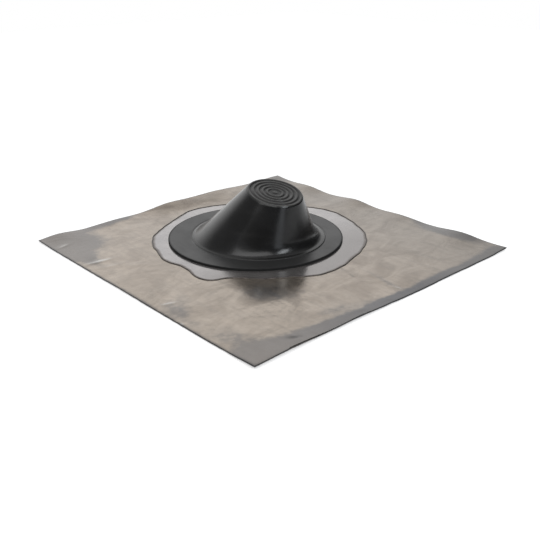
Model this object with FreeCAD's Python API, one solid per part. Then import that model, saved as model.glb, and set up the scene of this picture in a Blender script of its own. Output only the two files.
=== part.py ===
"""Pipe flashing boot: a square of roofing lead with a leaning rubber cone bonded over its hole.

Millimetres, +Z up.  The origin is the middle of the sheet, on its underside.  +Y runs up the
roof slope, the way the cone leans, and +X runs across the roof.
"""
import FreeCAD, Part
import math
import os

from FreeCAD import Placement, Rotation, Vector

# --- lead sheet: a guillotined square of milled lead, flat under the boot, rippled at its edges
SHEET_SIDE = 450.0
SHEET_THICKNESS = 1.8
HOLE_LEDGE = 2.7             # lead left showing inside the foot of the cone's wall
FLAT_MARGIN = 5.0            # lead dressed flat past the boot's flange
SETTLE_WIDTH = 32.0          # width over which the ripples die out towards the flat middle
RIPPLE_SPANS = 30            # spline spans along each side of the sheet

# Ripples left by handling, edge by edge.  Each is: its place along the edge and its half width,
# as shares of half the side, then shares of the usual lift and of the usual reach in.
RIPPLE_LIFT = 5.0
RIPPLE_REACH = 50.0
LOW_EDGE = ((0.87, 0.10, 0.90, 1.2), (0.47, 0.17, 0.52, 1.2), (0.06, 0.14, 1.10, 1.4),
            (-0.31, 0.33, 1.26, 1.6), (-0.95, 0.22, 1.04, 1.6))
HIGH_EDGE = ((0.80, 0.24, 0.66, 1.4), (0.33, 0.18, 0.50, 1.2), (0.05, 0.09, 0.20, 1.0),
             (-0.44, 0.11, 0.20, 1.0))
LEFT_EDGE = ((-0.66, 0.12, 0.92, 0.9), (-0.16, 0.12, 0.84, 1.2), (0.71, 0.12, 0.60, 1.0),
             (0.98, 0.12, 0.44, 1.0))
RIGHT_EDGE = ((-0.10, 0.12, 0.20, 1.0), (0.95, 0.12, 0.20, 0.8))

# --- bonding coat: the compound that holds the boot down, brushed on past the flange
COAT_THICKNESS = 0.5
COAT_REACH = 25.0            # how far past the flange it was meant to go
# The brush line: bearing in degrees from +X, and the share of that reach which was covered.
BRUSH_LINE = ((0, 0.76), (12, 0.80), (20, 1.16), (28, 1.32), (33, 1.08), (50, 1.04),
              (65, 1.10), (80, 1.20), (103, 1.10), (122, 1.24), (141, 1.38), (162, 1.28),
              (182, 1.44), (200, 1.24), (226, 1.16), (248, 1.16), (259, 1.30), (272, 1.32),
              (284, 1.04), (298, 0.80), (314, 0.94), (332, 0.88), (346, 0.78))

# --- rubber boot: one moulding, a flat flange and a leaning cone closed by a ringed crown
BOOT_X = -6.8                # the boot sits a little off the sheet's centre line
BOOT_Y = -36.2               # and down the slope, which leaves a deeper lap of lead above it
FLANGE_RADIUS = 121.0
FLANGE_THICKNESS = 2.8
FLANGE_EDGE = 0.8            # bevel of the flange's top edge
WALL = 2.5                   # thickness of the cone's wall, square to its surface
FOOT_RADIUS = 84.7           # where the straight wall, produced, meets the flange's top face
FOOT_OFFSET = 1.0            # the foot's middle up the slope from the flange's middle
CROWN_RADIUS = 37.8
CROWN_RISE = 70.0            # the crown's middle above the flange's top face
CROWN_OFFSET = 39.4          # the crown's middle up the slope from the flange's middle
CROWN_TILT = 13.8            # degrees that the crown falls up the slope
CROWN_THICKNESS = 2.2        # membrane that is cut away to pass the pipe
CROWN_EDGE = 0.9             # bevel between the crown and the wall

# Flare that sweeps the wall out onto the flange and ends there in a shallow crease
FLARE_REACH_X = 6.8          # how far the crease lies outside the foot, across the slope
FLARE_REACH_Y = 10.3         # and along it
FLARE_SHIFT_X = -3.0         # the crease's middle from the flange's middle
FLARE_SHIFT_Y = 2.8
FLARE_HEIGHT = 20.0          # height above the flange at which the flare leaves the wall
CREASE_LIFT = 1.5            # height of the flare's knee, which makes the crease show
FLARE_BANDS = 6              # straight bands that carry the flare round its bend
WALL_BANDS = 4               # bands of the straight wall, which keep its facets even

# Cutting rings on the crown, each the guide for one pipe size
RING_COUNT = 5
FIRST_RING = 10.4            # radius of the smallest ring's ridge
RING_PITCH = 6.3
RING_BASE = 3.6              # width of a ridge where it leaves the crown
RING_CREST = 1.8             # width of its flat top
RING_HEIGHT = 1.0
NUB_RADIUS = 4.0             # nub at the middle, where the mould was filled
NUB_CREST = 2.6              # radius of its flat top
NUB_HEIGHT = 0.8
ROOT = 0.6                   # depth to which rings and nub are rooted in the crown

FLAT_RADIUS = FLANGE_RADIUS + FLAT_MARGIN
COAT_BOTTOM = SHEET_THICKNESS
FLANGE_BOTTOM = COAT_BOTTOM + COAT_THICKNESS
FLANGE_TOP = FLANGE_BOTTOM + FLANGE_THICKNESS
HOLE_RADIUS = FOOT_RADIUS - HOLE_LEDGE
FLARE_ACROSS = FOOT_RADIUS + FLARE_REACH_X
FLARE_ALONG = FOOT_RADIUS + FLARE_REACH_Y
UP = Vector(0, 0, 1)
CROWN_PLACE = Placement(Vector(BOOT_X, BOOT_Y + CROWN_OFFSET, FLANGE_TOP + CROWN_RISE),
                        Rotation(Vector(1, 0, 0), -CROWN_TILT))
CROWN_NORMAL = CROWN_PLACE.Rotation.multVec(UP)

# Nine control points draw an exact ellipse: the corners and middles of the box around it.
BOX_WALK = ((1, 0), (1, 1), (0, 1), (-1, 1), (-1, 0), (-1, -1), (0, -1), (1, -1), (1, 0))
RING_WEIGHTS = [1 if 0 in corner else math.sqrt(0.5) for corner in BOX_WALK]
RING_KNOTS = [0, 1, 2, 3, 4]
RING_MULTS = [3, 2, 2, 2, 3]


def ring(centre, across, along):
    """Control points of the ellipse with half axes `across` and `along`, both vectors."""
    return [centre + across * a + along * b for a, b in BOX_WALK]


def mix(ring_a, ring_b, share):
    """The ring a given share of the way from one ring to another."""
    return [a * (1 - share) + b * share for a, b in zip(ring_a, ring_b)]


def band(ring_a, ring_b):
    """Straight wall between two rings."""
    skin = Part.BSplineSurface()
    skin.buildFromPolesMultsKnots([ring_a, ring_b], [2, 2], RING_MULTS, [0, 1], RING_KNOTS,
                                  False, False, 1, 2, [RING_WEIGHTS, RING_WEIGHTS])
    return skin.toShape()


def straight_skin(start, end):
    """Bands from one ring straight to another."""
    rings = [mix(start, end, i / WALL_BANDS) for i in range(WALL_BANDS + 1)]
    return [band(a, b) for a, b in zip(rings, rings[1:])]


def curved_skin(start, knee, end):
    """Bands that leave one ring towards the knee and bend round to meet the other."""
    rings = []
    for i in range(FLARE_BANDS + 1):
        share = i / FLARE_BANDS
        rings.append(mix(mix(start, knee, share), mix(knee, end, share), share))
    return [band(a, b) for a, b in zip(rings, rings[1:])]


def cap(poles):
    """Flat face inside one ring."""
    curve = Part.BSplineCurve()
    curve.buildFromPolesMultsKnots(poles, RING_MULTS, RING_KNOTS, False, 2, RING_WEIGHTS)
    return Part.Face(Part.Wire(curve.toShape()))


def closed_solid(faces):
    """Solid inside a set of faces that share their edges."""
    shell = Part.makeShell(faces)
    shell.sewShape()
    solid = Part.makeSolid(shell)
    if solid.Volume < 0:
        solid.reverse()
    return solid


def cylinder(radius, bottom, height):
    """Upright cylinder about the boot's middle."""
    return Part.makeCylinder(radius, height, Vector(BOOT_X, BOOT_Y, bottom))


# ---------------------------------------------------------------- lead sheet

def edge_lift(ripples, along, inward):
    """Lift of one edge's ripples at a point `along` the edge and `inward` from it."""
    half = SHEET_SIDE / 2
    total = 0.0
    for place, half_width, lift, reach in ripples:
        wave = math.exp(-((along / half - place) / half_width) ** 2)
        fall = max(0.0, 1 - inward / (RIPPLE_REACH * reach))
        total += RIPPLE_LIFT * lift * wave * fall ** 2
    return total


def settle(x, y):
    """0 over the flat middle and 1 where the ripples run free, eased between the two.

    A span of the spline on each side keeps the flat middle truly flat.
    """
    still = FLAT_RADIUS + 2 * SHEET_SIDE / RIPPLE_SPANS
    t = (math.hypot(x - BOOT_X, y - BOOT_Y) - still) / SETTLE_WIDTH
    t = min(max(t, 0.0), 1.0)
    return t * t * (3 - 2 * t)


def ripple_height(x, y):
    """How far the sheet's underside stands off the roof."""
    half = SHEET_SIDE / 2
    lift = (edge_lift(LOW_EDGE, x, half + y) + edge_lift(HIGH_EDGE, x, half - y)
            + edge_lift(LEFT_EDGE, y, half + x) + edge_lift(RIGHT_EDGE, y, half - x))
    return lift * settle(x, y)


def rippled_plate(bottom, thickness):
    """Square plate that follows the ripples, with a plain flat disc let into its middle."""
    knots = [SHEET_SIDE * (i / RIPPLE_SPANS - 0.5) for i in range(RIPPLE_SPANS + 1)]
    mults = [4] + [1] * (RIPPLE_SPANS - 1) + [4]
    flat_knots = [knots[0]] * 3 + knots + [knots[-1]] * 3
    places = [sum(flat_knots[i + 1:i + 4]) / 3 for i in range(RIPPLE_SPANS + 3)]
    poles = [[Vector(x, y, bottom + ripple_height(x, y)) for y in places] for x in places]
    surface = Part.BSplineSurface()
    surface.buildFromPolesMultsKnots(poles, mults, mults, knots, knots, False, False, 3, 3)
    plate = surface.toShape().extrude(Vector(0, 0, thickness))
    middle = cylinder(FLAT_RADIUS, bottom, thickness)
    return plate.cut(middle).fuse(middle)


def lead_sheet():
    sheet = rippled_plate(0, SHEET_THICKNESS)
    hole = cylinder(HOLE_RADIUS, -SHEET_THICKNESS, SHEET_THICKNESS * 3)
    return sheet.cut(hole)


# ---------------------------------------------------------------- bonding coat

def bonding_coat():
    """Film between the sheet and the flange, out to the uneven line where the brush stopped."""
    points = []
    for bearing, share in BRUSH_LINE:
        radius = FLANGE_RADIUS + COAT_REACH * share
        turn = math.radians(bearing)
        points.append(Vector(BOOT_X + radius * math.cos(turn), BOOT_Y + radius * math.sin(turn), 0))
    line = Part.BSplineCurve()
    line.interpolate(points, PeriodicFlag=True)
    headroom = Vector(0, 0, RIPPLE_REACH)
    brushed = Part.Face(Part.Wire(line.toShape())).extrude(headroom)
    film = rippled_plate(COAT_BOTTOM, COAT_THICKNESS).common(brushed)
    return film.cut(cylinder(HOLE_RADIUS, 0, FLANGE_TOP))


# ---------------------------------------------------------------- rubber boot

def outer_rings():
    """Crease, foot and crown rings of the cone's outside."""
    crease = ring(Vector(BOOT_X + FLARE_SHIFT_X, BOOT_Y + FLARE_SHIFT_Y, FLANGE_TOP),
                  Vector(FLARE_ACROSS, 0, 0), Vector(0, FLARE_ALONG, 0))
    foot = ring(Vector(BOOT_X, BOOT_Y + FOOT_OFFSET, FLANGE_TOP),
                Vector(FOOT_RADIUS, 0, 0), Vector(0, FOOT_RADIUS, 0))
    crown = ring(CROWN_PLACE.Base, Vector(CROWN_RADIUS, 0, 0),
                 CROWN_PLACE.Rotation.multVec(Vector(0, CROWN_RADIUS, 0)))
    return crease, foot, crown


def inside_corner(corner, outward, normal, drop, wall_line):
    """Where the wall's inside meets the plane that lies `drop` under the corner's own plane.

    `outward` and `normal` are that plane's axes, and `wall_line` runs up the wall's outside.
    """
    side = outward.cross(normal)
    inward = side.cross(wall_line).normalize()
    if inward.dot(outward) > 0:
        inward = -inward
    slide = (WALL + drop * normal.dot(inward)) / outward.dot(inward)
    return corner - normal * drop + outward * slide


def inside_ring(outer, normal, drop, foot, crown):
    """Ring of the wall's inside, one wall thickness in from the outer ring on every side."""
    centre = (outer[0] + outer[4]) * 0.5
    corners = []
    for index in (2, 6, 0):
        outward = (outer[index] - centre).normalize()
        line = crown[index] - foot[index]
        line = line - outward.cross(normal) * line.dot(outward.cross(normal))
        corners.append(inside_corner(outer[index], outward, normal, drop, line))
    up_slope, down_slope, across = corners
    middle = (up_slope + down_slope) * 0.5
    return ring(middle, Vector(across.x - middle.x, 0, 0), (up_slope - down_slope) * 0.5)


def raised(poles, height):
    return [pole + UP * height for pole in poles]


def cone_body():
    """The cone from the crease to the crown, solid through."""
    crease, foot, crown = outer_rings()
    knee = raised(foot, CREASE_LIFT)
    wall_start = mix(foot, crown, FLARE_HEIGHT / CROWN_RISE)
    wall_end = mix(crown, foot, CROWN_EDGE / CROWN_RISE)
    crown_flat = mix(crown, [CROWN_PLACE.Base] * len(crown), CROWN_EDGE / CROWN_RADIUS)
    return closed_solid([cap(crease)] + curved_skin(crease, knee, wall_start)
                        + straight_skin(wall_start, wall_end)
                        + [band(wall_end, crown_flat), cap(crown_flat)])


def cone_hollow():
    """The space inside the cone, open at the flange's underside."""
    crease, foot, crown = outer_rings()
    inner_foot = inside_ring(foot, UP, FLANGE_THICKNESS, foot, crown)
    inner_crown = inside_ring(crown, CROWN_NORMAL, CROWN_THICKNESS, foot, crown)
    shrink = Vector(WALL / FLARE_ACROSS, WALL / FLARE_ALONG, 0)
    middle = (crease[0] + crease[4]) * 0.5
    mouth = [Vector(p.x - (p.x - middle.x) * shrink.x, p.y - (p.y - middle.y) * shrink.y,
                    FLANGE_BOTTOM) for p in crease]
    wall_start = mix(inner_foot, inner_crown, FLARE_HEIGHT / CROWN_RISE)
    knee = raised(inner_foot, CREASE_LIFT)
    return closed_solid([cap(mouth)] + curved_skin(mouth, knee, wall_start)
                        + straight_skin(wall_start, inner_crown) + [cap(inner_crown)])


def flange():
    disc = cylinder(FLANGE_RADIUS, FLANGE_BOTTOM, FLANGE_THICKNESS)
    half_way = (FLANGE_BOTTOM + FLANGE_TOP) / 2
    top_edge = [edge for edge in disc.Edges if edge.BoundBox.ZMin > half_way]
    return disc.makeChamfer(FLANGE_EDGE, top_edge)


def turned(section):
    """Solid turned from half a section, given as (radius, height) points, on the crown's axis."""
    corners = [Vector(radius, 0, height) for radius, height in section]
    face = Part.Face(Part.makePolygon(corners + corners[:1]))
    solid = face.revolve(Vector(0, 0, 0), UP, 360)
    solid.Placement = CROWN_PLACE
    return solid


def cutting_ring(radius):
    """One ridge, a rule for the knife that opens the crown to a pipe's size."""
    base = RING_BASE / 2
    crest = RING_CREST / 2
    return turned([(radius - base, -ROOT), (radius - base, 0), (radius - crest, RING_HEIGHT),
                   (radius + crest, RING_HEIGHT), (radius + base, 0), (radius + base, -ROOT)])


def nub():
    return turned([(0, -ROOT), (0, NUB_HEIGHT), (NUB_CREST, NUB_HEIGHT), (NUB_RADIUS, 0),
                   (NUB_RADIUS, -ROOT)])


def rubber_boot():
    boot = flange().fuse(cone_body()).cut(cone_hollow())
    ridges = [cutting_ring(FIRST_RING + RING_PITCH * index) for index in range(RING_COUNT)]
    return boot.fuse(ridges + [nub()])


def export(shape, name):
    """Write one piece, checked to be a single sound solid."""
    shape = shape.removeSplitter()
    solid = shape.Solids[0]
    print(name, "solids", len(shape.Solids), "valid", solid.isValid(),
          "volume cm3", round(solid.Volume / 1000, 2))
    solid.exportStep("parts/" + name + ".step")


os.makedirs("parts", exist_ok=True)
export(lead_sheet(), "lead_sheet")
export(bonding_coat(), "bonding_coat")
export(rubber_boot(), "rubber_boot")
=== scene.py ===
# %% [markdown]
# # A lead roof slate with a rubber pipe boot
#
# A pipe that comes through a roof needs a weathertight collar. This one has three pieces: a
# square of sheet lead, a leaning cone of black rubber whose closed top is cut to suit the pipe,
# and a thin coat of bonding compound that holds the one on the other. The engineering model
# gives their true sizes. This notebook dresses it: rippled and stained lead, a brushed film
# with an uneven edge, and moulded rubber with its cutting rings.

# %% Load the engineering model
import math

import bpy
import numpy as np
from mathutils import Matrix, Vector
from mathutils.bvhtree import BVHTree


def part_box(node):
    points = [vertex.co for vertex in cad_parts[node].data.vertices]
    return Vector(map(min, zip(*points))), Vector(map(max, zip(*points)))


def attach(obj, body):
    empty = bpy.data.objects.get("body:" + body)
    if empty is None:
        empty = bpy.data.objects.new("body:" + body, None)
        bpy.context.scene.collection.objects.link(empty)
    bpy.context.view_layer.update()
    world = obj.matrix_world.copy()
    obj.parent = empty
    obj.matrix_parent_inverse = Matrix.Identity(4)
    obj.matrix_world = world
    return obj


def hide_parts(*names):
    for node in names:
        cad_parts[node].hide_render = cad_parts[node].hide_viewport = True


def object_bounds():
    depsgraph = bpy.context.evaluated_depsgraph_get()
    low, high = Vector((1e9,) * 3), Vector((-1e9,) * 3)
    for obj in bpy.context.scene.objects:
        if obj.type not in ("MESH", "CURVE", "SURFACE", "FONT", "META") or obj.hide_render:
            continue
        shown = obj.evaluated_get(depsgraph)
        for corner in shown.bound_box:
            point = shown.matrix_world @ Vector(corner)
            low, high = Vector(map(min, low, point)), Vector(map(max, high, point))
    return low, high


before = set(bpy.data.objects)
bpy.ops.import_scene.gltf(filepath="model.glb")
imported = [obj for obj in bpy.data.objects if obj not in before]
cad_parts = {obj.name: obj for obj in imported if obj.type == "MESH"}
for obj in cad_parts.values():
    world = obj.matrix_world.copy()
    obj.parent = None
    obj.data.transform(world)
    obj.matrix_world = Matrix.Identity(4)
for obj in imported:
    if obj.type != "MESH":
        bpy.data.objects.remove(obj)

MM = 0.001
CAD_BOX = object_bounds()
sheet_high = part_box("lead_sheet")[1]
coat_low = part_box("bonding_coat")[0]
boot_low, boot_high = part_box("rubber_boot")
print("overall box in metres:", [list(corner) for corner in CAD_BOX])

# %% [markdown]
# ## Sizes
#
# Sizes come from the boxes of the engineering nodes wherever they can, so the dressing follows
# the model. What a box can't tell, such as the tilt of the cone's crown, is a named value here.
# Up the roof's slope is towards +Y.

# %% Sizes
HALF_SIDE = sheet_high[0]
SHEET_THICKNESS = 1.8 * MM
BOOT_X = (boot_low[0] + boot_high[0]) / 2
BOOT_Y = (boot_low[1] + boot_high[1]) / 2
FLANGE_RADIUS = (boot_high[0] - boot_low[0]) / 2
FLANGE_BOTTOM = boot_low[2]
FLANGE_THICKNESS = 2.8 * MM
FLANGE_TOP = FLANGE_BOTTOM + FLANGE_THICKNESS
HOLE_RADIUS = 82.0 * MM  # of the hole in the sheet, under the cone
FOOT_RADIUS = 84.7 * MM  # of the cone, where its wall would meet the flange
FOOT_OFFSET = 1.0 * MM  # from the flange's middle, along Y
CROWN_RADIUS = 37.8 * MM
CROWN_RISE = 70.0 * MM  # of the crown's middle above the flange
CROWN_OFFSET = 39.4 * MM  # from the flange's middle, along Y
CROWN_TILT = math.radians(13.8)
CROWN_THICKNESS = 2.2 * MM
print("flange radius", round(FLANGE_RADIUS, 4), "boot at", round(BOOT_X, 4), round(BOOT_Y, 4))

# %% [markdown]
# ## Camera
#
# The product stands on a table and is seen from a corner, a little above it. A camera is easiest
# to place by where it aims and by the bearing and height of the line back to it. Its own +Z axis
# points back along that line, so `to_track_quat` turns it without any constraint.

# %% Camera
AIM = Vector((0.0538, 0.0596, 0.0))
CAMERA_BEARING = math.radians(47.53)  # from +X towards +Y
CAMERA_HEIGHT = math.radians(23.76)
CAMERA_DISTANCE = 0.902
LENS = 47.87  # mm, as is the sensor
SENSOR_WIDTH = 36.0
NEAREST = 0.01  # nothing nearer is drawn


def direction(bearing, height):
    """Unit vector at a bearing from +X and a height above the horizon, in radians."""
    flat = math.cos(height)
    return Vector((flat * math.cos(bearing), flat * math.sin(bearing), math.sin(height)))


scene = bpy.context.scene
camera_data = bpy.data.cameras.new("camera")
camera_data.lens = LENS
camera_data.sensor_width = SENSOR_WIDTH
camera_data.clip_start = NEAREST
camera = bpy.data.objects.new("camera", camera_data)
back = direction(CAMERA_BEARING, CAMERA_HEIGHT)
camera.location = AIM + back * CAMERA_DISTANCE
camera.rotation_euler = back.to_track_quat("Z", "Y").to_euler()
scene.collection.objects.link(camera)
scene.camera = camera
scene.view_settings.view_transform = "Standard"
print("camera at", [round(c, 3) for c in camera.location])

# %% [markdown]
# ## A short way to write shader nodes
#
# Every finish here is a small graph of nodes. Written out link by link it is long and hard to
# read, so `Graph.add` makes a node, fills its inputs from a dictionary and returns its output:
# a value is typed in and another node's output is wired in. Noise stays mostly between 0.3 and
# 0.7, so most ramps on it start and end near there.

# %% Graph helper
class Graph:
    """Adds nodes to one node tree and wires them as they are added."""

    def __init__(self, tree):
        self.tree = tree
        self.tree.nodes.clear()

    def add(self, kind, inputs=None, output=0, **settings):
        """New node; settings are its own choices, such as its operation."""
        node = self.tree.nodes.new(kind)
        for name, value in settings.items():
            setattr(node, name, value)
        for name, value in (inputs or {}).items():
            socket = node.inputs[name]
            if isinstance(value, bpy.types.NodeSocket):
                self.tree.links.new(value, socket)
            else:
                socket.default_value = value
        return node.outputs[output] if node.outputs else node

    def maths(self, operation, a, b=0.0, c=0.0):
        return self.add("ShaderNodeMath", {0: a, 1: b, 2: c}, operation=operation)

    def times(self, a, b):
        return self.maths("MULTIPLY", a, b)

    def vector(self, operation, a, b=(0.0, 0.0, 0.0)):
        """Maths on vectors; a length or a dot product comes out as a number."""
        output = "Value" if operation in ("LENGTH", "DOT_PRODUCT") else 0
        return self.add("ShaderNodeVectorMath", {0: a, 1: b}, output, operation=operation)

    def noise(self, place, scale, detail=3.0, roughness=0.55, distortion=0.0):
        """Cloudy noise between 0 and 1; scale is in features a metre."""
        return self.add("ShaderNodeTexNoise", {"Vector": place, "Scale": scale, "Detail": detail,
                                               "Roughness": roughness, "Distortion": distortion})

    def ramp(self, value, low, high, start=0.0, end=1.0):
        """Carries value from low..high to start..end with an eased ramp."""
        return self.add("ShaderNodeMapRange",
                        {"Value": value, "From Min": low, "From Max": high, "To Min": start,
                         "To Max": end}, interpolation_type="SMOOTHSTEP")

    def blend(self, share, a, b):
        """Mix of two colours."""
        return self.add("ShaderNodeMix", {0: share, 6: a, 7: b}, output=2, data_type="RGBA")

    def stretched(self, place, along_x, along_y, along_z=1.0):
        """Coordinates stretched for a pattern that runs one way."""
        return self.add("ShaderNodeMapping", {"Vector": place,
                                              "Scale": (along_x, along_y, along_z)})


def tone(red, green, blue):
    """A colour written as it shows on screen, 0 to 255, as the linear value that shaders use."""
    linear = []
    for part in (red, green, blue):
        share = part / 255
        linear.append(share / 12.92 if share <= 0.04045 else ((share + 0.055) / 1.055) ** 2.4)
    return (*linear, 1.0)


def finish(name):
    """New material, its graph, and the Object coordinates that its patterns lie on."""
    material = bpy.data.materials.new(name)
    material.use_nodes = True
    graph = Graph(material.node_tree)
    return material, graph, graph.add("ShaderNodeTexCoord", output="Object")


print("graph helper ready")

# %% [markdown]
# ## Studio
#
# Black rubber and dull metal show what is around them more than their own colour, so the room
# matters as much as the paint. It is a plain one: a white wall behind the object, a little to
# the left, a pale ceiling, and dimness elsewhere. The camera itself sees pure white.

# %% World
DIM = 0.13  # level of the room at the sides and behind the camera
DARKEST = 0.05  # no side is dimmer than this
LEFT_TINT = 0.13  # what the left side adds, and the right side loses
LEFT = -90  # bearings are in degrees from the camera's own
WHITE_WALL = 0.80  # what the white wall adds
WALL_BEARING = -165  # where its middle is
WALL_IN_METAL = 0.12  # how much brighter its reflection is
CEILING = 0.42  # what the ceiling adds
WHITE = (1.0, 1.0, 1.0, 1.0)
world = bpy.data.worlds.new("studio")
scene.world = world
world.use_nodes = True
graph = Graph(world.node_tree)
where = graph.add("ShaderNodeTexCoord", output="Generated")
level_with_eye = graph.vector("MULTIPLY", where, (1.0, 1.0, 0.0))
compass = graph.vector("NORMALIZE", level_with_eye)


def towards(bearing):
    """How squarely a ray looks along a bearing from the camera's own, -1 to 1."""
    aim = direction(CAMERA_BEARING + math.radians(bearing), 0.0)
    return graph.vector("DOT_PRODUCT", compass, aim)


height = graph.add("ShaderNodeSeparateXYZ", {"Vector": where}, output="Z")
wall_end = graph.ramp(height, 0.05, 0.3, 0.78, 0.55)  # the wall is wider higher up
wall = graph.ramp(towards(WALL_BEARING), wall_end, 0.92, 0.0, WHITE_WALL)
wall = graph.times(wall, graph.ramp(height, 0.45, 0.85, 1.0, 0.0))  # and fades near its top
rays = graph.add("ShaderNodeLightPath", output="Is Camera Ray")
mirrored = rays.node.outputs["Is Glossy Ray"]
brighter = graph.maths("MULTIPLY_ADD", mirrored, WALL_IN_METAL, 1.0)
wall = graph.times(wall, brighter)
ceiling = graph.ramp(height, 0.5, 0.9, 0.0, CEILING)
sides = graph.maths("MULTIPLY_ADD", towards(LEFT), LEFT_TINT, DIM)
sides = graph.maths("MAXIMUM", sides, DARKEST)
room = graph.maths("ADD", graph.maths("ADD", wall, ceiling), sides)
seen = graph.maths("MAXIMUM", rays, rays.node.outputs["Is Transmission Ray"])
level = graph.add("ShaderNodeMix", {0: seen, 2: room, 3: 1.0}, data_type="FLOAT")
shown = graph.add("ShaderNodeBackground", {"Color": WHITE, "Strength": level})
graph.add("ShaderNodeOutputWorld", {"Surface": shown})
print("room lit from the white wall")

# %% [markdown]
# Three softboxes light it: a wide one over the front, a smaller, slightly cool one to its right
# that gives the bright touch on the flare, and a faint low strip that draws one upright sheen
# down the cone. Radiance is set as it would be read off the face of the lamp.


# %% Softboxes
def softbox(name, bearing, height, distance, width, tall, radiance, colour):
    """Rectangular lamp that faces the object; radiance is how bright its face looks."""
    lamp_data = bpy.data.lights.new(name, "AREA")
    lamp_data.shape = "RECTANGLE"
    lamp_data.size = width
    lamp_data.size_y = tall
    lamp_data.energy = radiance * math.pi * width * tall
    lamp_data.color = colour
    lamp = bpy.data.objects.new(name, lamp_data)
    away = direction(CAMERA_BEARING + math.radians(bearing), math.radians(height))
    lamp.location = away * distance
    lamp.rotation_euler = away.to_track_quat("Z", "Y").to_euler()
    scene.collection.objects.link(lamp)


# Name; bearing and height in degrees; distance, width and tallness in metres; radiance; colour.
SOFTBOXES = (
    ("front_softbox", -14, 47, 2.4, 2.7, 1.15, 1.9, (1.0, 1.0, 1.0)),
    ("right_softbox", 53, 36, 2.2, 0.5, 0.95, 7.5, (0.91, 0.96, 1.0)),
    ("low_strip", 38, 5, 2.2, 0.62, 0.9, 1.15, (0.88, 0.93, 1.0)),
)
for row in SOFTBOXES:
    softbox(*row)
print("softboxes", len(SOFTBOXES))

# %% [markdown]
# The floor is a plain pale sheet. For the camera its own light lifts it towards white and the
# lamps do the rest, so a soft shadow still shows. Further out, where the lamps reach less, it
# glows more. In reflections it is faint near the object and stronger towards the white wall.
# From below it is clear, so that the underside can be seen.

# %% Floor
FLOOR_SIZE = 6.0
FLOOR_GLOW = 0.5  # its own light round the object
FAR_GLOW = 0.9  # and further out
MIRRORED_GLOW = 0.15  # what a reflection shows of it near the object
WALL_SIDE = math.radians(-160)  # the side where reflections show it pale
FLOOR_GAP = 0.2 * MM  # keeps its face clear of the object's
floor_finish, graph, place = finish("floor")
rays = graph.add("ShaderNodeLightPath", output="Is Camera Ray")
mirrored = rays.node.outputs["Is Glossy Ray"]
away = graph.vector("LENGTH", place)
glow_level = graph.ramp(away, 0.45, 1.4, FLOOR_GLOW, FAR_GLOW)
lift = graph.times(rays, glow_level)
to_wall = direction(CAMERA_BEARING + WALL_SIDE, 0.0)
beyond = graph.vector("DOT_PRODUCT", place, to_wall)
near_wall = graph.ramp(beyond, -0.1, 0.4, MIRRORED_GLOW, FLOOR_GLOW)
lift = graph.maths("MAXIMUM", lift, graph.times(mirrored, near_wall))
matt = graph.add("ShaderNodeBsdfDiffuse", {"Color": (0.86, 0.86, 0.86, 1.0)})
glow = graph.add("ShaderNodeEmission", {"Color": WHITE, "Strength": lift})
both = graph.add("ShaderNodeAddShader", {0: matt, 1: glow})
clear = graph.add("ShaderNodeBsdfTransparent", {})
under = graph.add("ShaderNodeNewGeometry", output="Backfacing")
sided = graph.add("ShaderNodeMixShader", {0: under, 1: both, 2: clear})
graph.add("ShaderNodeOutputMaterial", {"Surface": sided})

half = FLOOR_SIZE / 2
floor_mesh = bpy.data.meshes.new("floor")
floor_mesh.from_pydata([(-half, -half, 0), (half, -half, 0), (half, half, 0), (-half, half, 0)],
                       [], [(0, 1, 2, 3)])
floor_mesh.materials.append(floor_finish)
floor = bpy.data.objects.new("floor", floor_mesh)
floor.location.z = CAD_BOX[0][2] - FLOOR_GAP
scene.collection.objects.link(floor)
print("floor laid")

# %% [markdown]
# ## Meshes from rings of points
#
# The sheet, the film and the boot are all round in the middle, so each is a stack of closed
# rings, joined by belts of four-sided faces. The same count of points in every ring keeps the
# faces regular, which matters on glossy things: a crooked face shows as a kink in the
# reflection. Two more helpers read a piece's points and store a number on each.

# %% Ring helpers
def ring_stack(name, rings):
    """Closed piece made of rings, each an array of (x, y, z) rows; the last joins the first."""
    rings = np.asarray(rings)
    count, around = rings.shape[:2]
    lower = np.arange(count * around).reshape(count, around)
    upper = np.roll(lower, -1, axis=0)
    quads = np.stack([lower, np.roll(lower, -1, axis=1), np.roll(upper, -1, axis=1), upper], 2)
    mesh = bpy.data.meshes.new(name)
    mesh.from_pydata(rings.reshape(-1, 3).tolist(), [], quads.reshape(-1, 4).tolist())
    mesh.shade_smooth()
    piece = bpy.data.objects.new(name, mesh)
    scene.collection.objects.link(piece)
    return piece


def points_of(piece):
    """Arrays of the x and the y of every point."""
    places = np.empty(len(piece.data.vertices) * 3)
    piece.data.vertices.foreach_get("co", places)
    return places.reshape(-1, 3).T[:2]


def paint(piece, name, values):
    """Stores one number a point on the piece, for its finish to read."""
    layer = piece.data.attributes.new(name, "FLOAT", "POINT")
    layer.data.foreach_set("value", np.asarray(values, dtype=np.float32).ravel())


print("ring helpers ready")

# %% [markdown]
# ## The lead sheet's relief
#
# Handling leaves sheet lead rippled along its edges. The engineering sheet has the ripples, but
# as flat facets, which would show as patches in the sheen. So the relief is read off it by
# dropping plumb lines on a grid, smoothed, and then drawn again as a cubic spline, which has no
# facets at any size. Small dents and creases are added on top, each a soft ridge with its own
# place, length and bearing, and two of the edges curl up a little.

# %% Read the relief off the engineering sheet
GRID_STEP = 5.0 * MM
SMOOTHING_PASSES = 3
INSIDE_EDGE = 0.9995  # of the half side: the plumb lines at the edge fall just inside it
LINE_TOP = 1.0  # metres above the floor
DOWN = Vector((0, 0, -1))


def faces_of(node):
    """Search tree of an engineering node's faces, at which rays can be cast."""
    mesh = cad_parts[node].data
    points = [vertex.co for vertex in mesh.vertices]
    return BVHTree.FromPolygons(points, [tuple(face.vertices) for face in mesh.polygons])


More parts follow.
